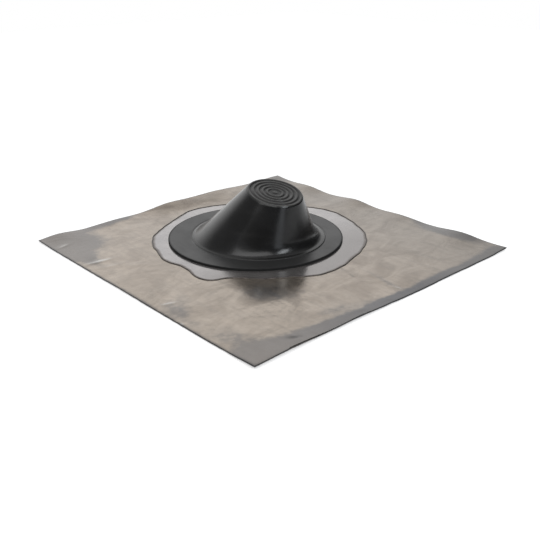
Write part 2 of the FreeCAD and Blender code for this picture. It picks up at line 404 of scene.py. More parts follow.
def plumb_heights(node, step):
    """Heights of a node's top on a square grid, by rays dropped on it."""
    tree = faces_of(node)
    marks = np.arange(-HALF_SIDE, HALF_SIDE + step / 2, step)
    limit = HALF_SIDE * INSIDE_EDGE
    heights = np.full((len(marks), len(marks)), np.nan)
    for i, x in enumerate(np.clip(marks, -limit, limit)):
        for j, y in enumerate(np.clip(marks, -limit, limit)):
            hit = tree.ray_cast(Vector((x, y, LINE_TOP)), DOWN)[0]
            if hit is not None:
                heights[i, j] = hit.z
    return heights


def smoothed(heights, passes):
    """Averages each height with its neighbours, pass by pass; the rim is carried outwards."""
    for _ in range(passes):
        for axis in (0, 1):
            heights = np.apply_along_axis(
                lambda row: np.convolve(np.pad(row, 1, "edge"), (0.25, 0.5, 0.25), "valid"),
                axis, heights)
    return heights


sheet_relief = plumb_heights("lead_sheet", GRID_STEP)
sheet_relief[np.isnan(sheet_relief)] = SHEET_THICKNESS
sheet_relief = smoothed(sheet_relief - SHEET_THICKNESS, SMOOTHING_PASSES)
print("relief grid", sheet_relief.shape, "highest", round(float(sheet_relief.max()), 4))


# %% Draw the relief as a spline
def spline_height(grid, x, y):
    """Cubic spline through the relief grid at any points of the sheet."""
    total = np.zeros(np.shape(x))
    u = (np.asarray(x) + HALF_SIDE) / GRID_STEP
    v = (np.asarray(y) + HALF_SIDE) / GRID_STEP
    i = np.floor(u).astype(int)
    j = np.floor(v).astype(int)

    def weights(t):
        return ((1 - t) ** 3 / 6, (3 * t ** 3 - 6 * t ** 2 + 4) / 6,
                (-3 * t ** 3 + 3 * t ** 2 + 3 * t + 1) / 6, t ** 3 / 6)

    last = len(grid) - 1
    for a, weight_x in enumerate(weights(u - i)):
        for b, weight_y in enumerate(weights(v - j)):
            cell = grid[np.clip(i + a - 1, 0, last), np.clip(j + b - 1, 0, last)]
            total += weight_x * weight_y * cell
    return total


# Dents and creases: middle x and y, bearing in degrees, half length, half width and lift, in mm.
CREASES = (
    (210, -183, 15, 11, 3.2, 0.6), (200, -105, 173, 19, 3.8, 0.75), (196, -82, 171, 20, 4.0, 0.4),
    (206, 55, 165, 9, 2.2, 0.35), (222, 104, 90, 5, 1.6, 0.3), (176, -66, 150, 18, 7.0, 0.35),
    (186, 10, 70, 26, 8.0, 0.35), (206, 84, 95, 22, 7.0, 0.3), (189, 86, 60, 18, 9.0, 0.3),
    (-20, 182, 78, 34, 4.5, 0.4), (-19, 203, 100, 6, 2.0, 0.4), (92, 196, 20, 30, 7.0, 0.3),
    (-120, 150, 60, 34, 9.0, 0.3), (150, 160, 130, 36, 10.0, 0.35),
    (-160, -60, 80, 40, 10.0, 0.35), (-190, 120, 30, 30, 8.0, 0.3),
    (-120, -150, 20, 34, 9.0, 0.3), (110, -180, 10, 26, 7.0, 0.3),
)
STILL_RADIUS = 148 * MM  # inside this the sheet is dressed flat under the boot and its coat
FREE_RADIUS = 172 * MM  # outside this it moves freely
WAVE_LIFT = 0.10  # mm, of each of two waves that never run straight
WAVE_BASE = 0.2  # mm, which keeps their troughs up
CURL_DEPTH = 26 * MM  # how far in from an edge its curl is felt
LOW_CURL = 1.3 * MM  # lift of the edge with the lowest Y
LEFT_CURL = 1.4 * MM  # lift of the edge with the lowest X, which is scalloped
SCALLOP = 16.7 * MM


def along_and_across(x, y, mark):
    """Places beside a mark, in its half lengths along it and its half widths across it."""
    middle_x, middle_y, bearing, half_length, half_width = mark
    turn = math.radians(bearing)
    dx = x - middle_x * MM
    dy = y - middle_y * MM
    along = (dx * math.cos(turn) + dy * math.sin(turn)) / (half_length * MM)
    across = (dy * math.cos(turn) - dx * math.sin(turn)) / (half_width * MM)
    return along, across


def dents(x, y):
    """Lift of creases, waves and curled edges, none of it under the boot."""
    lift = np.zeros(np.shape(x))
    for *mark, height in CREASES:
        along, across = along_and_across(x, y, mark)
        lift += height * MM * np.exp(-along ** 2 - across ** 2)
    wave = WAVE_LIFT * np.sin(x / (17 * MM) + 2.0 * np.sin(y / (46 * MM)))
    wave += WAVE_LIFT * np.sin(y / (21 * MM) + 1.7 * np.sin(x / (39 * MM)) + 1.0)
    along_low = np.exp(-((x + 60 * MM) / (150 * MM)) ** 4)
    lift += LOW_CURL * along_low * np.exp((-HALF_SIDE - y) / CURL_DEPTH)
    scallops = 0.9 + 0.75 * np.cos((y + 161 * MM) / SCALLOP)
    along_left = np.exp(-((y - 60 * MM) / (170 * MM)) ** 4) * scallops
    lift += LEFT_CURL * along_left * np.exp((-HALF_SIDE - x) / CURL_DEPTH)
    from_boot = np.hypot(x - BOOT_X, y - BOOT_Y)
    free = np.clip((from_boot - STILL_RADIUS) / (FREE_RADIUS - STILL_RADIUS), 0, 1)
    return (lift + (wave + WAVE_BASE) * MM) * free * free * (3 - 2 * free)


def sheet_top(x, y):
    """Height of the sheet's top, which never sinks into the floor."""
    return SHEET_THICKNESS + np.maximum(spline_height(sheet_relief, x, y) + dents(x, y), 0)


print("highest crease", round(float(dents(np.array([0.190]), np.array([-0.107]))[0]), 5))

# %% [markdown]
# ## The lead sheet
#
# The sheet is a ring stack too: its innermost ring is the hole and its outermost one is the
# square, with the rings between them passing smoothly from round to square. Every corner gets a
# point of its own, so it stays sharp. Guillotined lead has a slightly rounded, nicked edge that
# catches the light, so more rings turn over the edge.

# %% Lay out the sheet
POINTS_A_SIDE = 150
ROWS_ON_TOP = 110
ROWS_UNDER = 24
ROWS_AT_EDGE = 7
EDGE_ROUNDING = 0.7 * MM
NICK_DEPTH = 0.55 * MM
HOLLOW = 1.5 * MM  # how far the edge with the highest Y was cut hollow
HOLLOW_MIDDLE = 120 * MM
HOLLOW_LENGTH = 85 * MM
random = np.random.default_rng(11)


def square_walk():
    """Points evenly round the sheet's edge, anticlockwise, with a point on each corner."""
    run = np.arange(POINTS_A_SIDE) / POINTS_A_SIDE * 2 - 1
    one = np.ones(POINTS_A_SIDE)
    x = np.concatenate([one, -run, -one, run])
    y = np.concatenate([run, one, -run, -one])
    return x * HALF_SIDE, y * HALF_SIDE


def nicks(count):
    """Small irregular bites along a cut edge, 0 to 1."""
    bites = random.random(count) ** 6
    spread = np.convolve(np.concatenate([bites[-2:], bites, bites[:2]]),
                         (0.15, 0.6, 1.0, 0.6, 0.15), "valid")
    waves = 0.5 + 0.5 * np.sin(np.arange(count) * 0.21 + 2 * np.sin(np.arange(count) * 0.043))
    return np.clip(0.6 * spread + 0.25 * waves, 0, 1)


edge_x, edge_y = square_walk()
bite = nicks(len(edge_x)) * NICK_DEPTH
hollow = np.exp(-((edge_x - HOLLOW_MIDDLE) / HOLLOW_LENGTH) ** 2) * (edge_y > HALF_SIDE - MM)
bite = bite + HOLLOW * hollow
bearing = np.arctan2(edge_y - BOOT_Y, edge_x - BOOT_X)
hole_x = BOOT_X + HOLE_RADIUS * np.cos(bearing)
hole_y = BOOT_Y + HOLE_RADIUS * np.sin(bearing)
print("points round the sheet", len(edge_x))

# %% Build the sheet
PULL_POWER = 40  # how quickly the edge's inset and nicks fade out inwards


def sheet_ring(share, inset, drop, under=False):
    """Ring a share of the way from hole to edge, drawn in by inset and let down by drop."""
    x = hole_x + (edge_x - hole_x) * share
    y = hole_y + (edge_y - hole_y) * share
    pull = (inset + bite) * share ** PULL_POWER
    x = np.clip(x, -HALF_SIDE + pull, HALF_SIDE - pull)
    y = np.clip(y, -HALF_SIDE + pull, HALF_SIDE - pull)
    z = sheet_top(x, y) - drop
    if under:
        z = np.maximum(z, 0.0)
    return np.stack([x, y, z], 1)


rings = []
for row in range(ROWS_UNDER):
    rings.append(sheet_ring(1 - row / ROWS_UNDER, EDGE_ROUNDING, SHEET_THICKNESS, under=True))
rings.append(sheet_ring(0, 0, SHEET_THICKNESS, under=True))
for row in range(ROWS_ON_TOP + 1):
    rings.append(sheet_ring(row / ROWS_ON_TOP, EDGE_ROUNDING, 0.0))
for step in range(1, ROWS_AT_EDGE + 1):
    turn = math.pi * step / (ROWS_AT_EDGE + 1)
    inset = EDGE_ROUNDING * (1 - math.sin(turn))
    drop = SHEET_THICKNESS * (1 - math.cos(turn)) / 2
    rings.append(sheet_ring(1, inset, drop, under=True))
sheet = ring_stack("lead_slate", rings[::-1])
print("lead sheet faces", len(sheet.data.polygons))

# %% [markdown]
# ## The lead's finish
#
# Lead weathers from bright to a warm, dull grey, and goes cooler and darker where it is handled,
# along the edges and at the corners. Where those marks lie is painted on the mesh, one number a
# point for each kind: cool, dark, rubbed pale, and sheared edge. Some of them are painted light:
# the pale marks along the creases are painted highlights, a cool patch and a pale streak in front
# of the boot are a painted reflection of the cone, and the dark band at the edge is partly
# painted shade. The sheet is also painted lighter towards +X and darker towards -X, painted light
# and shade too. The nodes then break the marks up with noise, so that none of them looks drawn.
# The metal is only part mirror, as an oxide skin is.

# %% Paint the stains on the sheet
# Soft spots: x, y in mm, half length, half width in mm, bearing in degrees, strength.
COOL_SPOTS = (
    (205, -205, 60, 36, 120, 1.5), (222, -150, 30, 14, 95, 0.8), (205, -120, 34, 12, 75, 0.7),
    (200, 175, 60, 22, 100, 0.55), (205, 215, 70, 24, 170, 1.4), (120, 220, 70, 16, 175, 1.2),
    (20, 222, 70, 9, 0, 0.9), (-90, 223, 80, 7, 0, 0.8), (-190, 221, 60, 13, 0, 1.1),
    (-60, 222, 70, 12, 0, 1.0), (60, 222, 60, 13, 0, 1.0), (150, -221, 60, 13, 0, 1.0),
    (-216, 140, 60, 15, 90, 0.9), (214, -214, 24, 16, 120, 0.5),
    (212, 82, 34, 14, 85, 0.5), (190, 60, 30, 16, 60, 0.35), (-225, 120, 60, 8, 90, 0.7),
    (-222, -210, 30, 18, 120, 0.8), (90, -224, 50, 8, 0, 0.4),
    # The last spot on this line, in front of the boot, is a painted reflection: the cone's dark
    # mirror image in the sheet.
    (70, 195, 36, 10, 165, 0.4), (-20, 190, 34, 8, 75, 0.35), (97, 110, 36, 26, 133, 0.85),
)
DARK_SPOTS = (
    (157, 208, 10, 3.4, 150, 0.75), (186, 12, 26, 9, 75, 0.22), (204, 20, 18, 8, 60, 0.25),
    (-5, 146, 14, 2.4, 80, 0.45), (-12, 122, 12, 2.2, 85, 0.4), (-24, 176, 30, 3.5, 78, 0.35),
    (205, -110, 26, 8, 80, 0.3), (196, 84, 22, 8, 80, 0.22), (64, 216, 20, 4, 170, 0.4),
    (16, 218, 14, 3, 170, 0.35), (-120, 214, 16, 3, 170, 0.25), (150, 66, 22, 4, 15, 0.3),
    # The first spot below, a thin band along the whole +X edge, is painted shade that widens the
    # edge's dark line.
    (224, 0, 225, 3.0, 90, 0.5), (224, 224, 6, 6, 0, 0.4),
)
PALE_SPOTS = (
    # The six spots on this line and the next lie along creases: painted highlights on their
    # ridges.
    (210, -183, 10, 2.6, 15, 0.8), (200, -105, 19, 3.2, 173, 1.0), (196, -82, 18, 3.2, 171, 0.4),
    (206, 55, 10, 2.2, 165, 0.8), (223, 105, 4, 2.0, 90, 0.8), (-19, 203, 7, 2.2, 100, 0.6),
    # The first spot on this line, in front of the boot, is a painted reflection: the pale strip
    # in the cone's mirror image.
    (110, 100, 20, 7, 48, 0.5), (-50, -214, 60, 12, 0, 0.3), (-60, 158, 24, 12, 40, 0.2),
    (180, 40, 40, 20, 70, 0.2),
)
BURR_AND_SHADE_WIDTH = 1.7 * MM  # of the dark line along the edge, left by the shears and partly painted shade


def spots(x, y, marks):
    """Sum of soft spots."""
    total = np.zeros(len(x))
    for middle_x, middle_y, half_length, half_width, angle, strength in marks:
        mark = (middle_x, middle_y, angle, half_length, half_width)
        along, across = along_and_across(x, y, mark)
        total += strength * np.exp(-(along ** 2 + across ** 2) ** 1.2)
    return total


px, py = points_of(sheet)
to_edge = HALF_SIDE - np.maximum(np.abs(px), np.abs(py))
burr_and_shade = BURR_AND_SHADE_WIDTH * (1 + 0.45 * np.sin(px / (9 * MM)) * np.sin(py / (7 * MM)))
paint(sheet, "edge", np.exp(-(to_edge / burr_and_shade) ** 2))
paint(sheet, "cool", spots(px, py, COOL_SPOTS))
paint(sheet, "dark", spots(px, py, DARK_SPOTS))
paint(sheet, "pale", spots(px, py, PALE_SPOTS))
print("painted", len(COOL_SPOTS) + len(DARK_SPOTS) + len(PALE_SPOTS), "marks")

# %% Finish helpers
def painted(graph, name):
    """A number that was stored on the piece's points."""
    return graph.add("ShaderNodeAttribute", output="Fac", attribute_name=name)


def bump(graph, height, strength, distance, **under):
    """Relief in the shading alone; Normal= is another relief that it lies on."""
    return graph.add("ShaderNodeBump", {"Height": height, "Strength": strength,
                                        "Distance": distance, **under})


def surface(graph, colour, rough, relief, metal=0.0):
    """The finished surface, wired to the material's output."""
    shader = graph.add("ShaderNodeBsdfPrincipled", {"Base Color": colour, "Metallic": metal,
                                                    "Roughness": rough, "Normal": relief})
    graph.add("ShaderNodeOutputMaterial", {"Surface": shader})


print("finish helpers ready")

# %% Lead finish
WARM, DULL = tone(174, 163, 151), tone(151, 140, 129)  # the sheet's two patchy greys
STREAKS, SPECKS = tone(146, 139, 132), tone(120, 112, 106)  # left by the rolls, and by grit
# Painted light and shade: the sheet is made lighter towards +X and darker towards -X.
PAINTED_LIGHT_SIDE, PAINTED_SHADE_SIDE = tone(194, 182, 168), tone(128, 124, 119)  # towards +X, towards -X
# The cool grey also paints the cone's reflection, and the dark tone also paints shade at the +X
# edge.
HANDLED_AND_PAINTED_REFLECTION, DIRT_AND_EDGE_SHADE = tone(102, 102, 105), tone(70, 68, 68)
RUBBED_AND_PAINTED_LIGHT, SHEARED_AND_EDGE_SHADE = tone(205, 203, 200), tone(82, 81, 82)
LEAD_METAL = 0.80
lead_finish, graph, place = finish("weathered_lead")
cloud = graph.noise(place, 14.0, 5.0, 0.6)
fine = graph.noise(place, 130.0, 4.0, 0.6)
rolled = graph.noise(graph.stretched(place, 150.0, 7.0), 1.0, 3.0, 0.6, 0.4)
patches = graph.noise(graph.stretched(place, 16.0, 26.0), 1.0, 3.0, 0.65, 1.0)
blotches = graph.ramp(cloud, 0.32, 0.68, 0.5, 1.4)
uneven = graph.times(blotches, graph.ramp(fine, 0.3, 0.7, 0.8, 1.2))
cool = graph.ramp(graph.times(painted(graph, "cool"), uneven), 0.1, 0.8)
body = graph.blend(graph.ramp(patches, 0.35, 0.68), WARM, DULL)
body = graph.blend(graph.ramp(rolled, 0.45, 0.75, 0.0, 0.35), body, STREAKS)
# Cool grey where handled, and the cone's painted reflection in front of the boot.
body = graph.blend(cool, body, HANDLED_AND_PAINTED_REFLECTION)
across = graph.add("ShaderNodeSeparateXYZ", {"Vector": place}, output="X")
# Painted light and shade: lighter towards +X, darker towards -X.
body = graph.blend(graph.ramp(across, -0.02, 0.24, 0.0, 0.28), body, PAINTED_LIGHT_SIDE)
body = graph.blend(graph.ramp(across, 0.0, -0.26, 0.0, 0.5), body, PAINTED_SHADE_SIDE)
dark = graph.times(painted(graph, "dark"), graph.ramp(fine, 0.25, 0.6, 0.6, 1.1))
# Dark marks, with painted shade along the +X edge among them.
body = graph.blend(graph.ramp(dark, 0.0, 1.0), body, DIRT_AND_EDGE_SHADE)
# Pale marks: rubbed lead, painted highlights along the creases, and a painted reflection's pale
# strip.
body = graph.blend(graph.ramp(painted(graph, "pale"), 0.1, 1.2), body, RUBBED_AND_PAINTED_LIGHT)
body = graph.blend(graph.ramp(fine, 0.35, 0.7, 0.0, 0.18), body, SPECKS)
# Dark edge band: the sheared edge, partly painted shade that stands in for its shaded side.
edge = graph.times(painted(graph, "edge"), graph.ramp(fine, 0.2, 0.55, 0.65, 1.0))
body = graph.blend(edge, body, SHEARED_AND_EDGE_SHADE)
smear = graph.ramp(rolled, 0.3, 0.7, -0.04, 0.04)
rough = graph.maths("ADD", graph.ramp(patches, 0.3, 0.7, 0.14, 0.22), smear)
grain = bump(graph, fine, 0.10, 0.6 * MM)
surface(graph, body, rough, bump(graph, patches, 0.25, 1.2 * MM, Normal=grain), LEAD_METAL)
sheet.data.materials.append(lead_finish)
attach(sheet, "root")
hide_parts("lead_sheet")
print("lead finished")

# %% [markdown]
# ## The bonding coat
#
# The compound was brushed on by hand, so its edge wanders. The engineering film carries that
# line. Looking in at it from all round finds how far out it reaches at each bearing. The film
# here follows the sheet's relief, thins towards its edge, and has a lobe where a drop ran out.
# It dried to a dull metallic grey with a brown rim, so its finish needs to know how far in from
# the brush line each point is, and that number is stored on the film.

# %% Find the brush line
BEARINGS = 720
SIGHT_HEIGHT = (coat_low[2] + FLANGE_BOTTOM) / 2
SIGHT_START = 0.25  # metres from the boot's middle, outside the film


def brush_line():
    """How far the film reaches from the boot's middle, bearing by bearing."""
    tree = faces_of("bonding_coat")
    middle = Vector((BOOT_X, BOOT_Y, SIGHT_HEIGHT))
    reaches = []
    for step in range(BEARINGS):
        away = direction(2 * math.pi * step / BEARINGS, 0.0)
        hit = tree.ray_cast(middle + away * SIGHT_START, -away)[0]
        reaches.append((hit - middle).length)
    return np.array(reaches)


degrees = np.arange(BEARINGS) * 360 / BEARINGS
reach = brush_line()
print("film reaches", round(float(reach.min()), 4), "to", round(float(reach.max()), 4))

# %% Lay the film
FILM_ROWS = 44
FILM_AT_FLANGE = 0.5 * MM  # thickness
FILM_AT_EDGE = 0.28 * MM
FILM_SUNK = 0.3 * MM  # its underside is this far inside the sheet
FILM_GAP = 0.01 * MM  # keeps it clear of the flange's underside
FLAT_SHARE = 0.6  # of the way to the brush line; the film thins beyond it
LOBE_BEARING = 26.0
LOBE_HALF_WIDTH = 5.5
LOBE_REACH = 1.5 * MM
# Where the brush strayed from the line that was meant: bearing in degrees, then mm outwards.
BRUSH_TOUCHES = ((0, 1.2), (12, 1.5), (21, 3.0), (27, 1.0), (31, 0.5), (34, -3.0), (52, -3.5),
                 (66, -4.4), (71, -0.5), (78, 2.5), (90, 3.8), (98, 2.8), (107, 0.7), (139, -1.2),
                 (166, 1.2), (186, -0.7), (196, -3.8), (226, -3.0), (247, -1.2), (254, -2.9),
                 (262, -3.5), (269, -4.6), (284, -5.6), (295, -2.6), (312, -3.0), (329, -1.0),
                 (346, 1.5))
wander = 0.35 * np.sin(np.radians(degrees * 23)) + 0.25 * np.sin(np.radians(degrees * 41 + 50))
lobe = np.exp(-((degrees - LOBE_BEARING) / LOBE_HALF_WIDTH) ** 4)
touch_bearings, touches = zip(*BRUSH_TOUCHES)
touched = np.interp(degrees, touch_bearings, touches, period=360)
soft = np.hanning(15)
touched = np.convolve(np.pad(touched, len(soft) // 2, "wrap"), soft / soft.sum(), "valid")
film_reach = reach + (wander + touched) * MM + lobe * LOBE_REACH


def film_ring(share, lift):
    """Ring of the film a share of the way from the hole to the brush line."""
    radius = HOLE_RADIUS + (film_reach - HOLE_RADIUS) * share
    turn = np.radians(degrees)
    x = BOOT_X + radius * np.cos(turn)
    y = BOOT_Y + radius * np.sin(turn)
    return np.stack([x, y, sheet_top(x, y) + lift], 1)


rings = [film_ring(row / FILM_ROWS, -FILM_SUNK) for row in range(FILM_ROWS, -1, -1)]
for row in range(FILM_ROWS + 1):
    share = row / FILM_ROWS
    thinning = min(max((share - FLAT_SHARE) / (1 - FLAT_SHARE), 0.0), 1.0)
    lift = FILM_AT_FLANGE + (FILM_AT_EDGE - FILM_AT_FLANGE) * thinning
    rings.append(film_ring(share * 0.992, lift - FILM_GAP))
rings.append(film_ring(0.998, FILM_AT_EDGE * 0.7))  # the last two round its edge down
rings.append(film_ring(1.0, 0.0))
film = ring_stack("bonding_film", rings[::-1])
px, py = points_of(film)
turned = np.degrees(np.arctan2(py - BOOT_Y, px - BOOT_X)) % 360
paint(film, "inside", np.interp(turned, degrees, film_reach, period=360)
      - np.hypot(px - BOOT_X, py - BOOT_Y))
print("film faces", len(film.data.polygons))

# %% Film finish
FILM_PALE, FILM_DULL = tone(184, 180, 179), tone(170, 167, 167)
FILM_SPECKS = tone(150, 146, 148)
# The darker of these two tones is painted shade, laid on the film towards +Y.
FILM_PAINTED_SHADE, FILM_RIM = tone(146, 142, 140), tone(98, 89, 84)
RIM_START = 1.3 * MM  # the rim is full up to here, in from the brush line
RIM_END_LOW, RIM_END_HIGH = 3.0 * MM, 5.6 * MM  # and gone somewhere between these
FILM_METAL = 0.78
film_finish, graph, place = finish("bonding_film")
cloud = graph.noise(place, 22.0, 4.0, 0.6)
fine = graph.noise(place, 160.0, 3.0, 0.6)
inside = painted(graph, "inside")
rim_end = graph.ramp(cloud, 0.3, 0.7, RIM_END_LOW, RIM_END_HIGH)
rim = graph.ramp(inside, RIM_START, rim_end, 1.0, 0.0)
body = graph.blend(graph.ramp(cloud, 0.3, 0.7), FILM_PALE, FILM_DULL)
body = graph.blend(graph.ramp(fine, 0.35, 0.75, 0.0, 0.25), body, FILM_SPECKS)
# Painted shade: the film is darkened towards +Y.
uphill = graph.add("ShaderNodeSeparateXYZ", {"Vector": place}, output="Y")
body = graph.blend(graph.ramp(uphill, -0.03, 0.06, 0.0, 0.85), body, FILM_PAINTED_SHADE)
rim = graph.times(rim, graph.ramp(fine, 0.25, 0.6, 0.7, 1.0))
body = graph.blend(rim, body, FILM_RIM)
rough = graph.ramp(cloud, 0.3, 0.7, 0.14, 0.22)
surface(graph, body, rough, bump(graph, fine, 0.12, 0.5 * MM), FILM_METAL)
film.data.materials.append(film_finish)
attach(film, "root")
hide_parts("bonding_coat")
print("film finished")

# %% [markdown]
# ## The bead round the coat
#
# Where the brush stopped, the compound stands up in a thin dark bead that has picked up dirt. It
# follows a path and its thickness wanders, so Geometry Nodes sweep it: the path becomes a curve,
# seeded noise sets the curve's radius point by point, and a small circle is run along it. The
# inputs are the bead's radius, how much it wanders, and the seed. A tree of Geometry Nodes is a
# graph as a finish is, so its helper builds on `Graph`.

# %% Tree helper
class FieldGraph(Graph):
    """A geometry tree whose inputs are named numbers."""

    def __init__(self, name, inputs):
        tree = bpy.data.node_groups.new(name, "GeometryNodeTree")
        super().__init__(tree)
        tree.interface.new_socket("Geometry", in_out="INPUT", socket_type="NodeSocketGeometry")
        self.sockets = {}
        for label, value in inputs.items():
            socket = tree.interface.new_socket(label, in_out="INPUT",
                                               socket_type="NodeSocketFloat")
            socket.default_value = value
            self.sockets[label] = socket.identifier
        tree.interface.new_socket("Geometry", in_out="OUTPUT", socket_type="NodeSocketGeometry")
        self.given = tree.nodes.new("NodeGroupInput").outputs

    def finish(self, geometry, material):
        """Every tree ends alike: real geometry with its finish set."""
        real = self.add("GeometryNodeRealizeInstances", {"Geometry": geometry})
        dressed = self.add("GeometryNodeSetMaterial", {"Geometry": real})
        dressed.node.inputs["Material"].default_value = material
        self.add("NodeGroupOutput", {0: dressed})


def apply_tree(piece, tree, values):
    """Runs a tree on a piece with the given inputs and keeps the result as a plain mesh."""
    modifier = piece.modifiers.new(tree.tree.name, "NODES")
    modifier.node_group = tree.tree
    for label, value in values.items():
        modifier[tree.sockets[label]] = value
    bpy.context.view_layer.update()
    depsgraph = bpy.context.evaluated_depsgraph_get()
    result = bpy.data.meshes.new_from_object(piece.evaluated_get(depsgraph))
    piece.modifiers.clear()
    piece.data = result
    result.shade_smooth()


print("tree helper ready")

# %% Bead finish
BEAD_DARK, BEAD_PALE = tone(66, 62, 60), tone(108, 102, 98)
BEAD_METAL = 0.4
bead_finish, graph, place = finish("dirty_bead")
grime = graph.noise(place, 90.0, 4.0, 0.65)
body = graph.blend(graph.ramp(grime, 0.3, 0.65), BEAD_DARK, BEAD_PALE)
rough = graph.ramp(grime, 0.3, 0.7, 0.35, 0.55)
surface(graph, body, rough, bump(graph, grime, 0.2, 0.4 * MM), BEAD_METAL)
print("bead finish ready")

# %% Sweep the bead
BEAD = {"Radius": 0.9 * MM, "Wander": 0.45, "Seed": 4.0}
BEAD_SHARE = 0.998  # of the way to the brush line
BEAD_LIFT = 0.1 * MM
NOISE_STRETCH = 4.0  # noise strays about a quarter from its middle at most


def bead_tree(material):
    """Sweeps a small circle of wandering size along the path it is given."""
    tree = FieldGraph("coat_bead", BEAD)
    given = tree.given
    curve = tree.add("GeometryNodeMeshToCurve", {"Mesh": given["Geometry"]})
    spot = tree.add("GeometryNodeInputPosition")
    grime = tree.add("ShaderNodeTexNoise", {"Vector": spot, "W": given["Seed"], "Scale": 70.0},
                     noise_dimensions="4D")
    swing = tree.times(tree.maths("SUBTRACT", grime, 0.5), given["Wander"])
    size = tree.maths("MULTIPLY_ADD", swing, NOISE_STRETCH, 1.0)
    sized = tree.add("GeometryNodeSetCurveRadius", {"Curve": curve, "Radius": size})
    circle = tree.add("GeometryNodeCurvePrimitiveCircle", {"Resolution": 8,
                                                           "Radius": given["Radius"]})
    swept = tree.add("GeometryNodeCurveToMesh", {"Curve": sized, "Profile Curve": circle})
    tree.finish(swept, material)
    return tree


path = film_ring(BEAD_SHARE, BEAD_LIFT)
path_mesh = bpy.data.meshes.new("coat_bead")
links = [(i, (i + 1) % len(path)) for i in range(len(path))]
path_mesh.from_pydata(path.tolist(), links, [])
bead_piece = bpy.data.objects.new("coat_bead", path_mesh)
scene.collection.objects.link(bead_piece)
apply_tree(bead_piece, bead_tree(bead_finish), BEAD)
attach(bead_piece, "root")
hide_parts("bonding_coat")
print("bead faces", len(bead_piece.data.polygons))

# %% [markdown]
# ## The rubber boot
#
# The boot is one moulding: a flat flange, a crease, a flare, a straight wall that leans, and a
# tilted crown. Each of these ends on an ellipse, and any ellipse is a middle and two half axes.
# Mixing two of them, number by number, gives every ellipse between, so a whole wall is a list of
# mixes. The profile runs round the moulding once, outside and inside, and closes on itself.

# %% Ellipses of the boot
AROUND = 256  # points round each ellipse
CREASE_X, CREASE_Y = BOOT_X - 3.0 * MM, BOOT_Y + 2.8 * MM
CREASE_ACROSS, CREASE_ALONG = 91.5 * MM, 95.0 * MM


def ellipse(middle, across, along):
    """An ellipse as three rows: its middle and its two half axes."""
    return np.array([middle, across, along], dtype=float)


def mixed(a, b, share):
    return a * (1 - share) + b * share


def bent(a, knee, b, share):
    """Ellipse on the curve that leaves a towards the knee and arrives at b."""
    return mixed(mixed(a, knee, share), mixed(knee, b, share), share)


def lifted(shape, height):
    return shape + np.array([[0, 0, height], [0, 0, 0], [0, 0, 0]])


def drawn(shape):
    """Points of an ellipse."""
    turn = 2 * math.pi * np.arange(AROUND) / AROUND
    return shape[0] + np.outer(np.cos(turn), shape[1]) + np.outer(np.sin(turn), shape[2])


def flat_circle(radius, height):
    return ellipse((BOOT_X, BOOT_Y, height), (radius, 0, 0), (0, radius, 0))


crown_axis = np.array([0, math.sin(CROWN_TILT), math.cos(CROWN_TILT)])
crown_along = np.array([0, math.cos(CROWN_TILT), -math.sin(CROWN_TILT)])
crown_middle = np.array([BOOT_X, BOOT_Y + CROWN_OFFSET, FLANGE_TOP + CROWN_RISE])


def crown_circle(radius, height):
    """Circle on the crown's own axis, so high above its face."""
    return ellipse(crown_middle + crown_axis * height, (radius, 0, 0), crown_along * radius)


crease = ellipse((CREASE_X, CREASE_Y, FLANGE_TOP), (CREASE_ACROSS, 0, 0), (0, CREASE_ALONG, 0))
foot = ellipse((BOOT_X, BOOT_Y + FOOT_OFFSET, FLANGE_TOP), (FOOT_RADIUS, 0, 0),
               (0, FOOT_RADIUS, 0))
crown = crown_circle(CROWN_RADIUS, 0.0)
print("crown middle", [round(float(c), 4) for c in crown_middle])

# %% Profile of the boot
FLARE_HEIGHT = 20.0 * MM
KNEE_LIFT = 1.5 * MM  # of the point towards which the flare's curve sets out
FLANGE_EDGE = 0.8 * MM  # rounding of the flange's edge
CROWN_EDGE = 1.1 * MM  # and of the crown's
FLARE_STEP = 0.35 * MM  # a faint second step, low on the flare
STEP_SHARE, STEP_RUN = 0.16, 0.012  # where it is and how long, as shares of the flare
# The crease's groove, row by row: size beside the crease, and lift.
GROOVE = ((1.006, -0.35 * MM), (1.0, -0.5 * MM), (0.995, -0.1 * MM), (0.991, 0.45 * MM))


def scaled(shape, factor):
    """The same ellipse, larger or smaller about its own middle."""
    return shape * np.array([[1], [factor], [factor]])


def steps(count, start=0.0, end=1.0):
    """Evenly spaced shares, both ends among them."""
    return [start + (end - start) * i / count for i in range(count + 1)]


def flange_outside():
    """Up the flange's side, over its rounded edge and in to the crease."""
    rows = [flat_circle(FLANGE_RADIUS, FLANGE_BOTTOM + FLANGE_THICKNESS * share)
            for share in steps(4, 0.05, 0.62)]
    for share in steps(6, 0.1):
        turn = share * math.pi / 2
        rows.append(flat_circle(FLANGE_RADIUS - FLANGE_EDGE * (1 - math.cos(turn)),
                                FLANGE_TOP - FLANGE_EDGE * (1 - math.sin(turn))))
    outer = flat_circle(FLANGE_RADIUS - FLANGE_EDGE * 1.6, FLANGE_TOP)
    rows += [mixed(outer, scaled(crease, 1.012), share) for share in steps(16)]
    return rows


